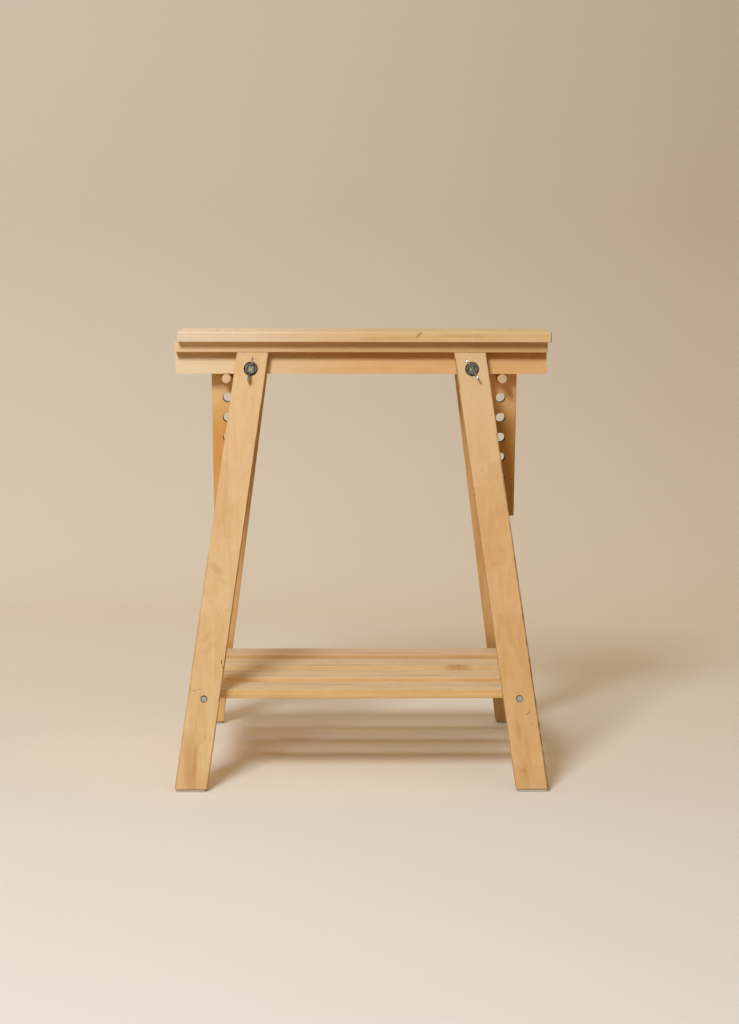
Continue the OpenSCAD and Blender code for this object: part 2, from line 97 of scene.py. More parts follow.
class Graph:
    """Adds nodes to a shader tree and joins them"""

    def __init__(self, tree):
        self.tree = tree

    def set(self, node, socket, value):
        if isinstance(value, bpy.types.NodeSocket):
            self.tree.links.new(value, node.inputs[socket])
        else:
            node.inputs[socket].default_value = value

    def node(self, kind, inputs=None, **settings):
        node = self.tree.nodes.new("ShaderNode" + kind)
        for key, value in settings.items():
            setattr(node, key, value)
        for socket, value in (inputs or {}).items():
            self.set(node, socket, value)
        return node

    def math(self, operation, a, b=0.0, c=0.0, clamp=False):
        inputs = {0: a, 1: b, 2: c}
        return self.node("Math", inputs, operation=operation, use_clamp=clamp).outputs[0]

    def absolute(self, value):
        return self.math("ABSOLUTE", value)

    def add(self, a, b):
        return self.math("ADD", a, b)

    def times(self, a, b):
        return self.math("MULTIPLY", a, b)

    def mad(self, a, b, c):
        return self.math("MULTIPLY_ADD", a, b, c)

    def vector(self, x, y, z):
        return self.node("CombineXYZ", {0: x, 1: y, 2: z}).outputs[0]

    def parts(self, vector):
        """A vector's x, y and z"""
        return self.node("SeparateXYZ", {0: vector}).outputs

    def scaled(self, place, scales):
        """A vector of the given sockets, each times its scale"""
        return self.vector(*[self.times(p, k) for p, k in zip(place, scales)])

    def dot(self, vector, axis):
        inputs = {0: vector, 1: tuple(axis)}
        return self.node("VectorMath", inputs, operation="DOT_PRODUCT").outputs["Value"]

    def mix(self, factor, a, b):
        node = self.node("Mix", data_type="RGBA")
        self.set(node, MIX_FACTOR, factor)
        self.set(node, MIX_A, a)
        self.set(node, MIX_B, b)
        return node.outputs[MIX_RESULT]

    def span(self, value, low, high, to_low=0.0, to_high=1.0, smooth=False):
        """Maps low..high to to_low..to_high, held at the ends"""
        kind = "SMOOTHSTEP" if smooth else "LINEAR"
        inputs = {0: value, 1: low, 2: high, 3: to_low, 4: to_high}
        return self.node("MapRange", inputs, interpolation_type=kind).outputs[0]

    def fading(self, value, reach, unit, strength=1.0, smooth=False):
        """strength up to the first reach, 0 from the second on; both are in the unit"""
        return self.span(value, reach[0] * unit, reach[1] * unit, strength, 0.0, smooth)

    def between(self, value, low, high):
        """1 where low < value < high, 0 elsewhere"""
        return self.times(self.math("GREATER_THAN", value, low), self.math("LESS_THAN", value, high))

    def within(self, value, low, high):
        """1 where low < value < high, with blurred edges"""
        after = self.span(value, low - BLOCK_BLUR, low + BLOCK_BLUR)
        return self.times(after, self.span(value, high - BLOCK_BLUR, high + BLOCK_BLUR, 1.0, 0.0))

    def stroke(self, u, v, fibre, at_u, at_v, wide, long, turn):
        """1 in a soft stroke of a width and length in millimetres, turned from along the board towards +u"""
        du, dv = self.add(u, -at_u * MM), self.add(v, -at_v * MM)
        co, si = math.cos(math.radians(turn)), math.sin(math.radians(turn))
        along = self.absolute(self.mad(dv, co, self.times(du, si)))
        aside = self.absolute(self.mad(du, co, self.times(dv, -si)))
        aside = self.mad(self.add(fibre, -STROKE_LEVEL), STROKE_RAGGED * wide * MM, aside)
        return self.times(self.fading(along, STROKE_LONG, long * MM, smooth=True),
                          self.fading(aside, STROKE_WIDE, wide * MM, smooth=True))

    def noise(self, vector, scale, detail, rough, distortion=0.0):
        inputs = {"Vector": vector, "Scale": scale, "Detail": detail,
                  "Roughness": rough, "Distortion": distortion}
        return self.node("TexNoise", inputs).outputs["Fac"]

    def grained(self, grain, kind):
        """A noise stretched along the grain. A kind is its scales, detail, roughness and any distortion"""
        scales, *settings = kind
        return self.noise(self.scaled(grain, scales), 1.0, *settings)

    def bump(self, height, distance, strength):
        inputs = {"Height": height, "Distance": distance, "Strength": strength}
        return self.node("Bump", inputs).outputs[0]

    def away(self, across, along, at, squeeze=1.0):
        """Distance from a point (across, along) on a board, with the length along it squeezed"""
        du = self.add(across, -at[0])
        dv = self.times(self.add(along, -at[1]), squeeze)
        return self.math("SQRT", self.mad(du, du, self.times(dv, dv)))


class Material(Graph):
    """A material and the tree of its one Principled shader"""

    def __init__(self, name):
        self.material = bpy.data.materials.new(name)
        self.material.use_nodes = True
        super().__init__(self.material.node_tree)
        self.shader = self.tree.nodes["Principled BSDF"]

    def finish(self, **sockets):
        for name, value in sockets.items():
            self.set(self.shader, name.replace("_", " "), value)
        return self.material


class Board:
    """Where a board's grain runs: its origin, and its axes along, across and through it"""

    def __init__(self, origin, along, across):
        self.origin = Vector(origin)
        self.along = Vector(along).normalized()
        across = Vector(across)
        self.across = (across - across.dot(self.along) * self.along).normalized()
        self.through = self.along.cross(self.across)


FLECK = linear(136, 90, 46)
KNOT_RING = linear(176, 118, 66)
KNOT = linear(104, 62, 34)
SCRATCH_AND_SHADE = linear(78, 48, 26)
FLAME = linear(176, 122, 62)
EDGE_SHADE = linear(92, 56, 28)
BORE_SHADE = linear(66, 44, 26)
END_GRAIN = linear(176, 124, 74)

# The wood's noises: scales along, across and through the board (per metre), detail, roughness, distortion
SLOW_NOISE = ((2.4, 26.0, 26.0), 3.0, 0.55)
WARP_NOISE = ((3.6, 15.0, 15.0), 2.0, 0.5)
CLOUD_NOISE = ((26.0, 60.0, 60.0), 3.0, 0.55, 0.6)
FIBRE_NOISE = ((38.0, 950.0, 950.0), 3.0, 0.6)
FLECK_NOISE = ((160.0, 1100.0, 1100.0), 1.0, 0.4)
STREAK_NOISE = ((1.6, 130.0, 130.0), 3.0, 0.6)
PATCH_NOISE = ((50.0, 200.0, 200.0), 2.0, 0.6)
PORE_NOISE = (1100.0, 2.0, 0.6)
MIDDLE = 0.5
# Growth rings per metre across and through the board, in radians, and how far they waver
RINGS_ACROSS, RINGS_THROUGH, RINGS_WAVER = 300.0, 190.0, 26.0
# How far a board's seed moves its grain across and through it
SEED_SLIDE, SLIDE_THROUGH = 1.7, 0.37
# How much each noise darkens the wood, and what keeps the average in place
SLOW_DEPTH, RING_DEPTH, CLOUD_DEPTH, STREAK_DEPTH, FIBRE_DEPTH = 1.1, 0.12, 1.3, 3.0, 0.36
BASE_DEPTH, RING_EVEN = -0.05, 0.04
FLECK_SPAN, FLECK_SHARE = (0.66, 0.8), 0.3
# Facing up, and how much painted sheen the upper face gets from the noises there
UP_SPAN, SHEEN_SLOW, SHEEN_SPAN = (0.7, 0.95), 0.6, (0.6, 1.0, 0.7, 1.0)
# A knot's core and halo reach between these multiples of its radius
KNOT_SQUEEZE, KNOT_RAGGED, KNOT_CORE, KNOT_HALO, HALO_SHARE = 0.4, 0.3, (0.4, 1.1), (0.6, 3.4), 0.35
# Painted shade along an edge, by millimetres across and through the board, in patches
RIM_ACROSS, RIM_THROUGH, RIM_PATCHES = (0.9, 2.0), (1.5, 3.5), (0.3, 0.6, 0.25, 1.0)
END_SPAN, END_SHARE, PORE_SPAN = (0.8, 0.95), 0.85, (0.3, 0.7)
BORE_BLUR, BORE_SHARE = 0.3, 0.85
ROUGH, ROUGH_FIBRE, ROUGH_END = 0.38, 0.14, 0.15
RING_RELIEF, WOOD_RELIEF, WOOD_BUMP = 0.25, 0.12 * MM, 0.5
# The sawn edges are duller than the faces
SAWN_SPAN, FACE_GLOSS = (0.5, 0.8), 0.3


def wood(name, board, light, dark, seed, mottle=0.5, streaks=0.0, blocks=(), knots=(), flames=(), marks=(),
         rims=(), shaded_bores=(), fade=None, up_sheen=None, end=None):
    """Clear-lacquered birch on a board, in metres along (v), across (u) and through (w) it.
    In millimetres of these: blocks are glued pieces (u, u, v, v, tone, slide); knots (u, v, radius,
    strength); flames and marks, soft and dark strokes, (u, v, width, length, turn, strength); rims (u, lean,
    v, v, strength), painted shade along an edge; bores (x, z, radius) run along Y, with painted shade on
    their walls; fade (v, v, colour, strength) tints one end; worn colours the upper face with a painted
    sheen;
    end colours the end grain."""
    g = Material(name)
    place = g.node("TexCoord").outputs
    offset = g.node("VectorMath", {0: place["Object"], 1: tuple(-board.origin)}).outputs[0]
    v = g.dot(offset, board.along)
    u = g.dot(offset, board.across)
    w = g.dot(offset, board.through)
    tone, slide = 0.0, seed * SEED_SLIDE
    for low_u, high_u, low_v, high_v, block_tone, block_slide in blocks:
        inside = g.times(g.between(u, low_u * MM, high_u * MM), g.between(v, low_v * MM, high_v * MM))
        slide = g.mad(inside, block_slide, slide)
        inside = g.times(g.within(u, low_u * MM, high_u * MM), g.within(v, low_v * MM, high_v * MM))
        tone = g.mad(inside, block_tone, tone)
    grain = (v, g.add(u, slide), g.add(w, g.times(slide, SLIDE_THROUGH)))

    slow = g.grained(grain, SLOW_NOISE)
    cloud = g.grained(grain, CLOUD_NOISE)
    fibre = g.grained(grain, FIBRE_NOISE)
    fleck = g.span(g.grained(grain, FLECK_NOISE), *FLECK_SPAN)
    waver = g.times(g.grained(grain, WARP_NOISE), RINGS_WAVER)
    rings = g.mad(grain[1], RINGS_ACROSS, g.mad(grain[2], RINGS_THROUGH, waver))
    # The sine from 0 to 1, squared for narrow dark rings
    rings = g.math("POWER", g.mad(g.math("SINE", rings), 0.5, 0.5), 2.0)

    depth = g.mad(slow, SLOW_DEPTH, g.add(tone, BASE_DEPTH))
    depth = g.mad(rings, RING_DEPTH, depth)
    depth = g.mad(g.add(cloud, -MIDDLE), CLOUD_DEPTH * mottle, depth)
    if streaks:
        streak = g.grained(grain, STREAK_NOISE)
        depth = g.mad(g.add(streak, -MIDDLE), STREAK_DEPTH * streaks, depth)
    fibres = g.mad(fibre, FIBRE_DEPTH, -MIDDLE * FIBRE_DEPTH - RING_EVEN)
    depth = g.math("ADD", depth, fibres, clamp=True)
    colour = g.mix(depth, light, dark)
    # Upward faces get a painted sheen, paler in patches
    if up_sheen:
        up = g.span(g.dot(place["Normal"], Z_AXIS), *UP_SPAN)
        sheen_share = g.times(up, g.span(g.add(cloud, g.times(slow, SHEEN_SLOW)), *SHEEN_SPAN))
        colour = g.mix(sheen_share, colour, g.mix(depth, *up_sheen))
    if fade:
        full_v, none_v, tint, strength = fade
        colour = g.mix(g.fading(v, (full_v, none_v), MM, strength, smooth=True), colour, tint)
    colour = g.mix(g.times(fleck, FLECK_SHARE), colour, FLECK)

    for at_u, at_v, radius, strength in knots:
        reach = g.away(u, v, (at_u * MM, at_v * MM), KNOT_SQUEEZE)
        reach = g.mad(fibre, KNOT_RAGGED * radius * MM, reach)
        halo = g.fading(reach, KNOT_HALO, radius * MM, HALO_SHARE * strength, smooth=True)
        core = g.fading(reach, KNOT_CORE, radius * MM, strength, smooth=True)
        colour = g.mix(core, g.mix(halo, colour, KNOT_RING), KNOT)
    for strokes, stain in ((flames, FLAME), (marks, SCRATCH_AND_SHADE)):
        for *shape, strength in strokes:
            colour = g.mix(g.times(g.stroke(u, v, fibre, *shape), strength), colour, stain)
    patches = g.span(g.grained(grain, PATCH_NOISE), *RIM_PATCHES)
    # Painted shade along edges, broken into patches
    for at_u, lean, low_v, high_v, strength in rims:
        line = g.absolute(g.add(u, g.mad(v, -lean, -at_u * MM)))
        inside = g.times(g.fading(line, RIM_ACROSS, MM, strength), g.between(v, low_v * MM, high_v * MM))
        inside = g.times(inside, g.fading(g.absolute(w), RIM_THROUGH, MM))
        colour = g.mix(g.times(inside, patches), colour, EDGE_SHADE)

    cut = g.span(g.absolute(g.dot(place["Normal"], board.along)), *END_SPAN)
    pores = g.span(g.noise(place["Object"], *PORE_NOISE), *PORE_SPAN)
    colour = g.mix(g.times(cut, END_SHARE), colour, g.mix(pores, *(end or (dark, END_GRAIN))))
    # Painted shade darkens the wall and seat of each bore
    for at_x, at_z, radius in shaded_bores:
        x, _, z = g.parts(place["Object"])
        reach = g.away(x, z, (at_x * MM, at_z * MM))
        colour = g.mix(g.fading(reach, (radius, radius + BORE_BLUR), MM, BORE_SHARE), colour, BORE_SHADE)

    rough = g.mad(cut, ROUGH_END, g.mad(fibre, ROUGH_FIBRE, ROUGH))
    relief = g.mad(rings, RING_RELIEF, fibre)
    sawn = g.absolute(g.dot(place["Normal"], board.across))
    return g.finish(Base_Color=colour, Roughness=rough, Normal=g.bump(relief, WOOD_RELIEF, WOOD_BUMP),
                    Specular_IOR_Level=g.fading(sawn, SAWN_SPAN, 1.0, FACE_GLOSS))


def dress(node, material):
    for slot in nodes[node].material_slots:
        slot.material = material


# Where the pieces stand, in millimetres as in the CAD
LEAN = math.radians(15.25)
SPLAY = math.radians(7.6)
FACE_Y, FACE_Z = 46.914, 677.0
BOLT_AT, BOLT_SEAT = (178.1, 651.0), 11.2
SHELF_BOLT_AT, SHELF_SEAT, SHELF_HEAD = (248.6, 141.0), 5.0, 3.8
TOP_EDGE_Y, TOP_Z = -60.0, 710.0
CAP_Z, RAIL_Y, RAIL_Z = 685.0, 28.0, 660.0
HOLE_BOARD_X, TOP_SHIFT, HOLE_BOARD_Y, HOLE_BOARD_TOP = 223.0, 5.0, -9.0, 694.0
PEG_Z, HOLE_PITCH, HOLE_COUNT, HOLE_EDGE = 634.0, 32.8, 7, 7.9
SLAT_COUNT, SLAT_STEP, SLAT_Z = 4, 88.0, 148.0
# How far a leg's edges run sideways per length along it
EDGE_RUN = math.tan(SPLAY)
SEEDS = {"leg": 5, "top": 11, "cap": 12, "rail": 15, "hole_board": 20, "bearer": 24, "peg": 27, "slat": 31,
         "dowel": 40}

# Placed where the photograph shows them, on the front legs, and made up on the back legs
LEG_FEATURES = {
    ("front", "left"): {
        "light": linear(230, 203, 157), "dark": linear(210, 170, 116),
        "fade": (700, 640, linear(202, 160, 112), 0.5),
        "blocks": [
            (-212.0, -100, -50, 300, 0.0, 0.31), (-400, -212.0, 180, 300, 0.2, 0.0),
            (-400, -209.5, 300, 418, -0.12, 0.53), (-209.5, -100, 300, 412, 0.02, 0.31),
            (-232.5, -100, 412, 720, 0.14, 0.77), (-400, -232.5, 424, 720, 0.04, 0.95),
            (-400, -260.5, 636, 720, 0.12, 0.0), (-260.5, -100, 652, 720, -0.06, 0.0),
        ],
        "knots": [(-240.5, 402, 0.8, 0.4), (-246.4, 615, 0.9, 0.4), (-238.5, 618, 0.9, 0.45)],
        "flames": [(-232.0, 350, 9.0, 36, 50, 0.26), (-222.0, 368, 6.0, 20, 56, 0.14),
                   (-246.0, 458, 9.0, 34, -40, 0.16), (-240.0, 476, 8.0, 30, -44, 0.14),
                   (-252.0, 566, 12.0, 60, 4, 0.12), (-261.0, 652, 6.0, 70, -3, 0.4),
                   (-270.0, 658, 18.0, 124, 4, 0.36), (-208.0, 262, 8.0, 70, -6, 0.1),
                   (-196.0, 470, 9.0, 90, -8, 0.1)],
        "marks": [(-221.4, 497.5, 1.6, 10, 4, 0.9), (-219.2, 506, 1.2, 7, 14, 0.85),
                  (-223.0, 406, 0.8, 4, 20, 0.35), (-266.0, 542, 1.2, 16, 72, 0.4),
                  (-258.0, 541, 1.0, 14, -76, 0.35), (-263.0, 548, 1.0, 18, -80, 0.25),
                  (-260.3, 594, 0.6, 38, 0, 0.3), (-264.0, 487, 0.8, 6, -50, 0.3),
                  (-256.0, 470, 0.7, 8, 60, 0.2)],
        "rims": [(-149.3, -EDGE_RUN, 80, 560, 0.75), (-149.3, -EDGE_RUN, 560, 700, 0.4),
                 (-199.7, -EDGE_RUN, 330, 700, 0.3)],
    },
    ("front", "right"): {
        "light": linear(227, 192, 142), "dark": linear(205, 161, 106),
        "fade": (40, 330, linear(222, 196, 152), 0.7),
        "blocks": [
            (177.4, 202.0, 178, 218, -0.14, 0.47), (202.0, 400, 178, 345, 0.14, 0.83),
            (100, 199.0, 300, 720, 0.12, 1.21), (199.0, 400, 345, 420, -0.12, 1.73),
            (199.0, 400, 420, 640, 0.06, 1.9), (100, 262.5, 640, 720, 0.1, 0.21),
        ],
        "knots": [(181.1, 231, 0.9, 0.55), (223.4, 320, 0.9, 0.3), (255.3, 667, 1.4, 0.5),
                  (251.2, 668, 1.0, 0.4)],
        "flames": [(230.0, 505, 20.0, 60, 4, 0.14), (222.0, 470, 10.0, 50, 10, 0.16),
                   (236.0, 455, 8.0, 60, 14, 0.14), (262.0, 640, 6.0, 60, 10, 0.22),
                   (248.0, 612, 5.0, 40, 6, 0.2), (206.0, 330, 10.0, 60, 8, 0.12),
                   (212.0, 400, 8.0, 70, 9, 0.12), (256.0, 690, 60.0, 90, 6, 0.16)],
        "marks": [(262.8, 578.5, 1.1, 11, -58, 0.7), (192.6, 191, 1.0, 6, -24, 0.4),
                  (185.5, 276, 0.8, 5, 20, 0.35), (246.0, 600, 0.8, 26, 3, 0.25),
                  (268.0, 596, 0.8, 9, 60, 0.3)],
        "rims": [(199.3, EDGE_RUN, 130, 330, 0.5), (199.3, EDGE_RUN, 330, 700, 0.85),
                 (149.6, EDGE_RUN, 10, 60, 0.6)],
    },
    ("back", "left"): {
        "light": linear(240, 204, 146), "dark": linear(220, 174, 112),
        # The fade is painted shade on this leg's upper part
        "fade": (150, 390, linear(164, 120, 64), 0.45),
        "blocks": [(-205, -100, -50, 240, 0.15, 0.6), (-230, -205, 180, 420, -0.12, 0.9),
                   (-400, -230, 330, 620, 0.12, 1.2), (-255, -100, 520, 720, 0.05, 0.2)],
        "knots": [(-226.0, 380, 1.2, 0.5), (-244.0, 540, 1.0, 0.45)],
        "flames": [(-215.0, 300, 8.0, 40, 20, 0.25)],
        "rims": [(-149.3, -EDGE_RUN, 200, 700, 0.2)],
    },
    ("back", "right"): {
        "light": linear(234, 198, 140), "dark": linear(212, 168, 110),
        # The fade is painted shade on this leg's lower part, below the shelf
        "fade": (610, 400, linear(152, 106, 56), 0.58),
        "blocks": [(190, 400, -50, 210, 0.1, 0.5), (100, 214, 210, 450, 0.16, 0.8),
                   (214, 400, 330, 560, -0.14, 1.1), (100, 242, 520, 720, 0.1, 1.6)],
        "knots": [(219.0, 290, 1.1, 0.5), (248.0, 520, 1.2, 0.5)],
        "flames": [(236.0, 430, 8.0, 40, -18, 0.25)],
        "rims": [(199.3, EDGE_RUN, 200, 700, 0.3)],
    },
}
for face_name, face in FACES:
    for side_name, side in SIDES:
        # The legs are cut askew from an edge-glued panel, so their grain runs upright, not along them
        down = (0, math.sin(LEAN) * face, -math.cos(LEAN))
        panel = Board((0, FACE_Y * MM * face, FACE_Z * MM), down, X_AXIS)
        # The bolts' seats get painted shade
        shaded_bores = [(side * x, z, seat) for (x, z), seat in ((BOLT_AT, BOLT_SEAT), (SHELF_BOLT_AT, SHELF_SEAT))]
        name = f"leg_{face_name}_{side_name}"
        seed = 3 * face + side + SEEDS["leg"]
        features = LEG_FEATURES[face_name, side_name]
        dress(name, wood(f"birch_{name}", panel, seed=seed, mottle=0.7, shaded_bores=shaded_bores, **features))

# Across the top board means halfway between across its face and down its front edge, to mark both
top = Board((0, TOP_EDGE_Y * MM, TOP_Z * MM), X_AXIS, (0, 1, -1))
dress("top_board", wood(
    "birch_top", top, linear(234, 210, 164), linear(216, 180, 128), SEEDS["top"], streaks=0.3,
    # Painted sheen: the fade pales the left end
    fade=(-300, 60, linear(236, 222, 198), 0.9), up_sheen=(linear(222, 208, 172), linear(199, 172, 130)),
    flames=[(3.2, 92, 3.4, 15, -36, 0.5), (4.0, 160, 3.0, 90, 1, 0.2), (7.0, 40, 3.0, 120, -1, 0.2)],
    # The mark at 304.5 along is a painted shade line at the right end of the front edge
    marks=[(2.6, 93, 1.0, 9, -36, 0.3), (5.5, 304.5, 1.4, 22, 90, 0.85), (68, 200, 5.0, 40, 1, 0.55),
           (62, 206, 3.0, 50, -2, 0.4), (64, 240, 4.0, 50, -2, 0.3), (72, 125, 4.0, 80, 1, 0.25),
           (60, -150, 4.0, 60, 2, 0.25), (70, -70, 4.0, 50, -1, 0.2)]))
for face_name, face in FACES:
    strip = Board((0, FACE_Y * MM * face, CAP_Z * MM), X_AXIS, Z_AXIS)
    up = (0, -face * math.sin(LEAN), math.cos(LEAN))
    rail = Board((0, RAIL_Y * MM * face, RAIL_Z * MM), X_AXIS, up)
    # Each fade is a painted sheen that pales the left end
    dress(f"cap_strip_{face_name}", wood(
        f"birch_cap_{face_name}", strip, linear(232, 201, 152), linear(210, 169, 113), SEEDS["cap"] + face,
        streaks=0.5, fade=(-300, 40, linear(242, 216, 178), 0.8)))
    dress(f"rail_{face_name}", wood(
        f"birch_rail_{face_name}", rail, linear(228, 187, 130), linear(208, 160, 98), SEEDS["rail"] + face,
        mottle=0.3, fade=(-300, 60, linear(228, 210, 172), 0.85)))

# Light, dark and fade. In the photograph the left hole board is brighter than the right one
HOLE_BOARD_COLOURS = {
    "left": (linear(234, 186, 112), linear(208, 154, 82), (40, 160, linear(250, 222, 164), 0.9)),
    # The right board's darker colours are painted shade, and its fade a painted patch of light on its upper
    # part
    "right": (linear(186, 140, 72), linear(160, 114, 50), (75, 145, linear(250, 206, 148), 0.9)),
}
PEG_END_COLOURS = {
    "left": (linear(238, 216, 182), linear(214, 182, 142)),
    "right": (linear(222, 202, 170), linear(196, 166, 132)),
}
for side_name, side in SIDES:
    hole_x = side * HOLE_BOARD_X + TOP_SHIFT
    hole_board = Board((hole_x * MM, HOLE_BOARD_Y * MM, HOLE_BOARD_TOP * MM), (0, 0, -1), X_AXIS)
    light, dark, fade = HOLE_BOARD_COLOURS[side_name]
    # The holes' walls get painted shade
    shaded_bores = [(hole_x, PEG_Z - HOLE_PITCH * hole, HOLE_EDGE) for hole in range(HOLE_COUNT)]
    dress(f"hole_board_{side_name}", wood(
        f"birch_hole_board_{side_name}", hole_board, light, dark, SEEDS["hole_board"] + side, streaks=0.2,
        shaded_bores=shaded_bores, fade=fade))
    bearer = Board((side * SHELF_BOLT_AT[0] * MM, 0, SHELF_BOLT_AT[1] * MM), Y_AXIS, X_AXIS)
    dress(f"shelf_bearer_{side_name}", wood(
        f"birch_bearer_{side_name}", bearer, linear(226, 184, 130), linear(204, 156, 100),
        SEEDS["bearer"] + side, up_sheen=(linear(222, 200, 166), linear(204, 174, 136))))
    peg = Board((side * HOLE_BOARD_X * MM, 0, PEG_Z * MM), Y_AXIS, X_AXIS)
    dress(f"peg_{side_name}", wood(
        f"birch_peg_{side_name}", peg, linear(230, 196, 152), linear(208, 164, 116), SEEDS["peg"] + side,
        end=PEG_END_COLOURS[side_name]))

# By slat, counted from the front
SLAT_KNOTS = {
    1: [(6, 60, 1.4, 0.4)], 3: [(-26, 164, 2.6, 0.5), (-20, 168, 2.0, 0.35)], 4: [(-8, -90, 1.6, 0.35)],
}
SLAT_FLAMES = {
    1: [(-10, 40, 8.0, 120, 1, 0.2), (12, -60, 6.0, 160, -1, 0.2)],
    2: [(-16, 100, 9.0, 140, 2, 0.3), (8, -120, 7.0, 120, 0, 0.2)],
    3: [(-24, 164, 9.0, 60, 0, 0.5), (4, 90, 8.0, 150, 0, 0.25), (-22, -40, 9.0, 180, 1, 0.4)],
    4: [(-14, 60, 9.0, 200, 0, 0.35), (10, -140, 7.0, 120, 0, 0.25)],
}
SLAT_MARKS = {
    1: [(-20, 112, 2.0, 16, -2, 0.35), (-24, 122, 1.5, 14, 2, 0.3)], 3: [(-8, 132, 2.0, 20, 0, 0.2)],
}
SLAT_COLOURS = {
    1: (linear(238, 206, 152), linear(220, 176, 116)),
    2: (linear(236, 200, 152), linear(214, 170, 116)),
    3: (linear(238, 214, 172), linear(218, 182, 132)),
    4: (linear(228, 198, 150), linear(206, 164, 112)),
}
for number in range(1, SLAT_COUNT + 1):
    y = (number - (SLAT_COUNT + 1) / 2) * SLAT_STEP
    slat = Board((0, y * MM, SLAT_Z * MM), X_AXIS, Y_AXIS)
    dress(f"shelf_slat_{number}", wood(
        f"birch_slat_{number}", slat, *SLAT_COLOURS[number], SEEDS["slat"] + number, streaks=0.55,
        up_sheen=(linear(222, 211, 184), linear(198, 174, 138)), knots=SLAT_KNOTS.get(number, ()),
        flames=SLAT_FLAMES[number], marks=SLAT_MARKS.get(number, ())))
upright = Board((0, 0, 0), Z_AXIS, X_AXIS)
DOWEL = wood("birch_dowel", upright, linear(228, 192, 148), linear(206, 160, 112), SEEDS["dowel"])
dress("frame_dowels", DOWEL)
dress("shelf_dowels", DOWEL)

# Noises (scale per metre, detail, roughness) and colours of zinc plating, and the painted shade on a screw
# head's rim
BLOTCH_SCALE, BLOTCH_SETTINGS, BLOTCH_SPAN = 170.0, (3.0, 0.65), (0.38, 0.62)
CRYSTAL_SCALE, CRYSTAL_SHARE, CRYSTAL = 900.0, 0.25, linear(120, 126, 130)
CAST_NOISE, CAST_RELIEF, CAST_BUMP = (420.0, 2.0, 0.5), 0.4 * MM, 0.5
HEAD_RIM_SHADE, HEAD_BLUR = linear(104, 108, 108), 0.5
ZINC_ROUGH, ZINC_ROUGH_BLOTCH = 0.12, 0.25


def zinc(name, seed, light, dark, heads=None):
    """Zinc-plated steel: mottled plating over a slightly uneven surface. heads (x, z, radius) are screw heads
    on both sides whose rim beyond the radius is darkened with painted shade"""
    g = Material(name)
    place = g.node("TexCoord").outputs["Object"]
    blotch = g.noise(place, BLOTCH_SCALE + seed, *BLOTCH_SETTINGS)
    crystal = g.node("TexVoronoi", {"Vector": place, "Scale": CRYSTAL_SCALE}).outputs["Distance"]
    colour = g.mix(g.span(blotch, *BLOTCH_SPAN), dark, light)
    colour = g.mix(g.times(crystal, CRYSTAL_SHARE), colour, CRYSTAL)
    if heads:
        at_x, at_z, radius = heads
        x, _, z = g.parts(place)
        reach = g.away(g.absolute(x), z, (at_x * MM, at_z * MM))
        # Painted shade on the head's rim
        colour = g.mix(g.span(reach, radius * MM, (radius + HEAD_BLUR) * MM), colour, HEAD_RIM_SHADE)
    rough = g.mad(blotch, ZINC_ROUGH_BLOTCH, ZINC_ROUGH)
    relief = g.bump(g.noise(place, *CAST_NOISE), CAST_RELIEF, CAST_BUMP)
    return g.finish(Base_Color=colour, Roughness=rough, Normal=relief, Metallic=1.0)


BLUE_ZINC = zinc("blue_zinc", 3, linear(202, 211, 208), linear(76, 86, 87))
GREY_ZINC = zinc("grey_zinc", 7, linear(226, 232, 240), linear(160, 168, 178))
HEAD_ZINC = zinc("head_zinc", 11, linear(224, 228, 234), linear(162, 171, 183), (*SHELF_BOLT_AT, SHELF_HEAD))
for name in ("clamp_bolt", "washer", "wing_nut"):
    for side_name, _ in SIDES:
        dress(f"{name}_{side_name}", BLUE_ZINC)
for name in ("top_screws", "cap_screws", "shelf_barrel_nuts"):
    dress(name, GREY_ZINC)
dress("shelf_bolts", HEAD_ZINC)

FLUFF_NOISE, LINT_NOISE = (420.0, 4.0, 0.7), (2600.0, 2.0, 0.6)
FELT_ROUGH, FELT_RELIEF, FELT_BUMP, FELT_SHEEN = 0.95, 0.3 * MM, 0.6, 0.2
FELT_VOXEL = 0.7 * MM
FELT_SMOOTHING, FELT_ROUNDS = 0.5, 6
# The pads' lumps: how far they move the surface, their noise's scale, and its shift for the second axis
FELT_LUMP, LUMP_SCALE, LUMP_SHIFT = 0.15 * MM, 300.0, Vector((7, 3, 1))
# Smoothing rounds the pads off, so they are stretched by this much to reach the leg and the floor
PAD_STRETCH = 1.12


def felt(name):
    """Pressed grey felt"""
    g = Material(name)
    place = g.node("TexCoord").outputs["Object"]
    fluff = g.noise(place, *FLUFF_NOISE)
    colour = g.mix(fluff, linear(160, 151, 138), linear(214, 202, 184))
    relief = g.bump(g.add(fluff, g.noise(place, *LINT_NOISE)), FELT_RELIEF, FELT_BUMP)
    return g.finish(Base_Color=colour, Roughness=FELT_ROUGH, Normal=relief, Sheen_Weight=FELT_SHEEN)


FELT = felt("grey_felt")


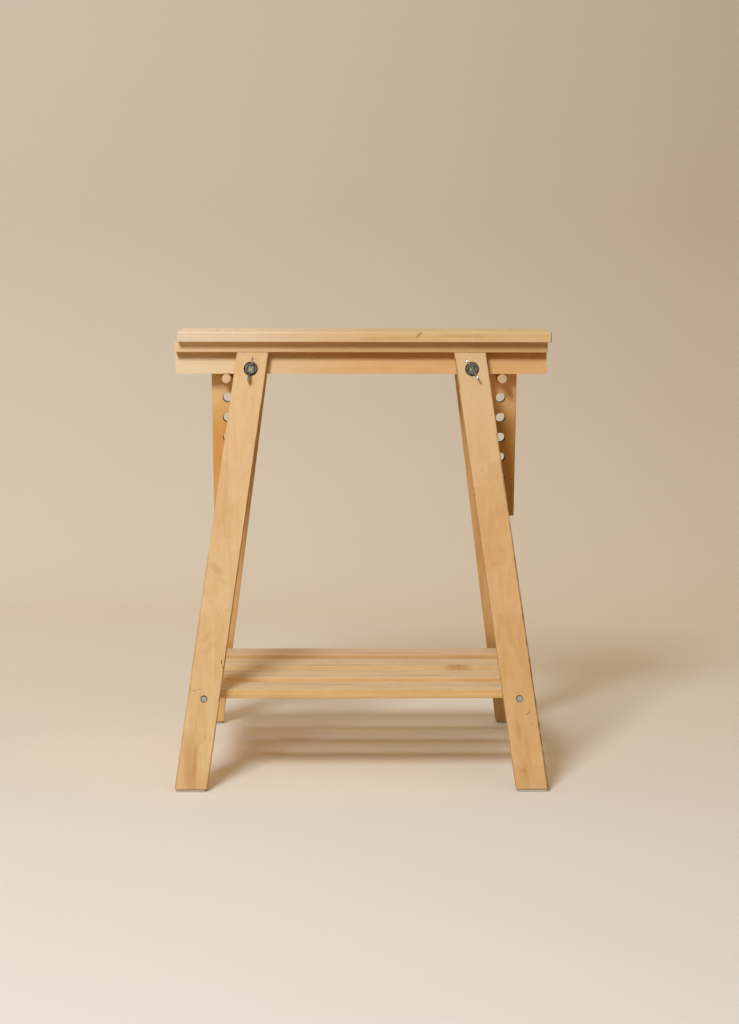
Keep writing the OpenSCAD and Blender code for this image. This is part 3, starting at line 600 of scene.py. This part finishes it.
def make_pad(node):
    """A felt pad in its solid's place, with softened edges, rounder ends and an uneven surface"""
    low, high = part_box(node)
    pad = bpy.data.objects.new(node.replace("foot_pad", "felt_pad"), nodes[node].data.copy())
    link(pad)
    remesh = pad.modifiers.new("remesh", "REMESH")
    remesh.mode = "VOXEL"
    remesh.voxel_size = FELT_VOXEL
    smooth = pad.modifiers.new("smooth", "SMOOTH")
    smooth.factor = FELT_SMOOTHING
    smooth.iterations = FELT_ROUNDS
    shape = bpy.data.meshes.new_from_object(pad.evaluated_get(bpy.context.evaluated_depsgraph_get()))
    pad.modifiers.clear()
    pad.data = shape
    height = high.z - low.z
    for vertex in shape.vertices:
        lump = noise.noise(vertex.co * LUMP_SCALE) * FELT_LUMP
        vertex.co.x += lump
        vertex.co.y += noise.noise(vertex.co * LUMP_SCALE + LUMP_SHIFT) * FELT_LUMP
        rise = (vertex.co.z - low.z) / height
        vertex.co.z = low.z + height * min(max((rise - 0.5) * PAD_STRETCH + 0.5, 0.0), 1.0)
    for polygon in shape.polygons:
        polygon.use_smooth = True
    shape.materials.clear()
    shape.materials.append(FELT)
    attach(pad, "stand")
    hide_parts(node)


for face_name, _ in FACES:
    for side_name, _ in SIDES:
        make_pad(f"foot_pad_{face_name}_{side_name}")

# The backdrop's colours, and where each gives way to the next, in metres up along it from under the object
FLOOR_COLOUR = linear(214, 220, 222)
FAR_COLOUR = linear(225, 228, 223)
BEND_COLOUR = linear(227, 224, 213)
WALL_COLOUR = linear(232, 229, 217)
FLOOR_FAR, FAR_BEND, BEND_WALL = (-1.1, 0.9), (0.9, 2.4), (2.4, 3.6)
# The floor under the shelf is tinted, to give its shadow the photograph's colour: at (y, x), in metres
# Painted light: a paler, warmer pool on the floor under the shelf that lightens the shelf's shadow
UNDER_LIGHT = linear(233, 231, 225)
UNDER_SHELF, UNDER_SQUEEZE, UNDER_REACH = (0.0, -0.08), 0.6, (0.1, 0.4)
# It darkens to the right with painted shade, and is slightly mottled
RIGHT_SHADE, RIGHT_SPAN = linear(150, 128, 100), (-0.9, 0.9, 0.0, 0.06)
MOTTLE_COLOUR, MOTTLE_NOISE, MOTTLE_SHARE = linear(190, 170, 140), (3.0, 3.0, 0.5), 0.05
# The sheet is small and the room's floor darker, so little light comes back from below
ROOM_FLOOR, ROOM_WALL, ROOM_SPAN = linear(166, 134, 94), linear(236, 200, 148), (0.9, 1.6)
PAPER_REACH = (0.45, 1.2)
PAPER_ROUGH, PAPER_GLOSS = 0.9, 0.2
# A pale background: the backdrop glows for the camera alone, painted light that rises up the sweep and fades
# out to the right
GLOW_COLOUR, GLOW_RISE, GLOW_SPAN = (0.95, 1.0, 1.0, 1.0), (0.2, 1.6), (-1.3, 0.9, 0.08, 0.0)
# The sheet: half its width, its front end, where it starts to bend, the bend's radius and steps, its top
SHEET_HALF, SHEET_FRONT, BEND_Y, BEND_RADIUS, BEND_STEPS, SHEET_TOP = 16.0, -16.0, 1.25, 0.9, 24, 5.0


def sweep_profile():
    """The floor runs up into the backdrop in one sweep"""
    points = [(SHEET_FRONT, 0.0), (BEND_Y, 0.0)]
    for i in range(1, BEND_STEPS + 1):
        a = math.radians(90.0) * i / BEND_STEPS
        points.append((BEND_Y + BEND_RADIUS * math.sin(a), BEND_RADIUS * (1 - math.cos(a))))
    points.append((BEND_Y + BEND_RADIUS, SHEET_TOP))
    return points


def backdrop_material():
    g = Material("backdrop_paper")
    place = g.node("NewGeometry").outputs
    x, y, z = g.parts(place["Position"])
    path = g.add(y, z)
    rays = g.node("LightPath").outputs
    colour = g.mix(g.span(path, *FLOOR_FAR), FLOOR_COLOUR, FAR_COLOUR)
    under = g.away(y, x, UNDER_SHELF, UNDER_SQUEEZE)
    colour = g.mix(g.fading(under, UNDER_REACH, 1.0, smooth=True), colour, UNDER_LIGHT)
    colour = g.mix(g.span(path, *FAR_BEND), colour, BEND_COLOUR)
    colour = g.mix(g.span(path, *BEND_WALL), colour, WALL_COLOUR)
    colour = g.mix(g.span(x, *RIGHT_SPAN), colour, RIGHT_SHADE)
    mottle = g.noise(place["Position"], *MOTTLE_NOISE)
    colour = g.mix(g.times(mottle, MOTTLE_SHARE), colour, MOTTLE_COLOUR)
    room = g.mix(g.span(path, *ROOM_SPAN), ROOM_FLOOR, ROOM_WALL)
    reach = g.math("SQRT", g.mad(x, x, g.times(y, y)))
    colour = g.mix(g.times(rays["Is Diffuse Ray"], g.span(reach, *PAPER_REACH)), colour, room)
    glow = g.times(g.span(path, *GLOW_RISE), g.span(x, *GLOW_SPAN))
    glow = g.times(glow, rays["Is Camera Ray"])
    g.finish(Base_Color=colour, Roughness=PAPER_ROUGH, Specular_IOR_Level=PAPER_GLOSS,
             Emission_Color=GLOW_COLOUR, Emission_Strength=glow)
    # Seen from behind, the backdrop doesn't hide the object
    seen = g.times(rays["Is Camera Ray"], place["Backfacing"])
    clear = g.node("BsdfTransparent").outputs[0]
    joined = g.node("MixShader", {0: seen, 1: g.shader.outputs[0], 2: clear}).outputs[0]
    g.set(g.tree.nodes["Material Output"], "Surface", joined)
    return g.material


def make_backdrop():
    mesh = bpy.data.meshes.new("backdrop")
    bm = bmesh.new()
    rows = []
    for y, z in sweep_profile():
        rows.append((bm.verts.new((-SHEET_HALF, y, z)), bm.verts.new((SHEET_HALF, y, z))))
    for a, b in zip(rows, rows[1:]):
        face = bm.faces.new((a[0], a[1], b[1], b[0]))
        face.smooth = True
    bm.to_mesh(mesh)
    bm.free()
    mesh.materials.append(backdrop_material())
    obj = bpy.data.objects.new("backdrop", mesh)
    link(obj)


make_backdrop()

# A soft box up on the left
KEY_SIZE, KEY_POWER, KEY_COLOUR = (1.03, 1.1), 110.0, (0.97, 0.985, 1.0)
KEY_AT, KEY_TARGET = Vector((-1.185, -2.783, 3.1)), Vector((0.0, 0.0, 0.35))
# Warm room light that comes mostly from above, and the pale room that the camera and glossy things see
ROOM_LIGHT = (1.0, 0.73, 0.47, 1.0)
ROOM_LOW, ROOM_HIGH = 0.13, 0.87
CEILING_SPAN = (0.2, 1.0)
ROOM_SEEN = linear(216, 200, 176)


def make_key():
    data = bpy.data.lights.new("key", "AREA")
    data.shape = "RECTANGLE"
    data.size, data.size_y = KEY_SIZE
    data.energy = KEY_POWER
    data.color = KEY_COLOUR
    key = bpy.data.objects.new("key", data)
    key.location = KEY_AT
    key.rotation_euler = (KEY_TARGET - KEY_AT).to_track_quat("-Z", "Y").to_euler()
    link(key)


def make_room():
    world = bpy.data.worlds.new("room")
    world.use_nodes = True
    bpy.context.scene.world = world
    g = Graph(world.node_tree)
    height = g.parts(g.node("TexCoord").outputs["Generated"])[2]
    lit = g.tree.nodes["Background"]
    g.set(lit, "Color", ROOM_LIGHT)
    g.set(lit, "Strength", g.span(height, *CEILING_SPAN, ROOM_LOW, ROOM_HIGH, smooth=True))
    pale = g.node("Background", {"Color": ROOM_SEEN})
    rays = g.node("LightPath").outputs
    seen = g.math("MAXIMUM", rays["Is Camera Ray"], rays["Is Glossy Ray"])
    joined = g.node("MixShader", {0: seen, 1: lit.outputs[0], 2: pale.outputs[0]}).outputs[0]
    g.set(g.tree.nodes["World Output"], "Surface", joined)


make_key()
make_room()
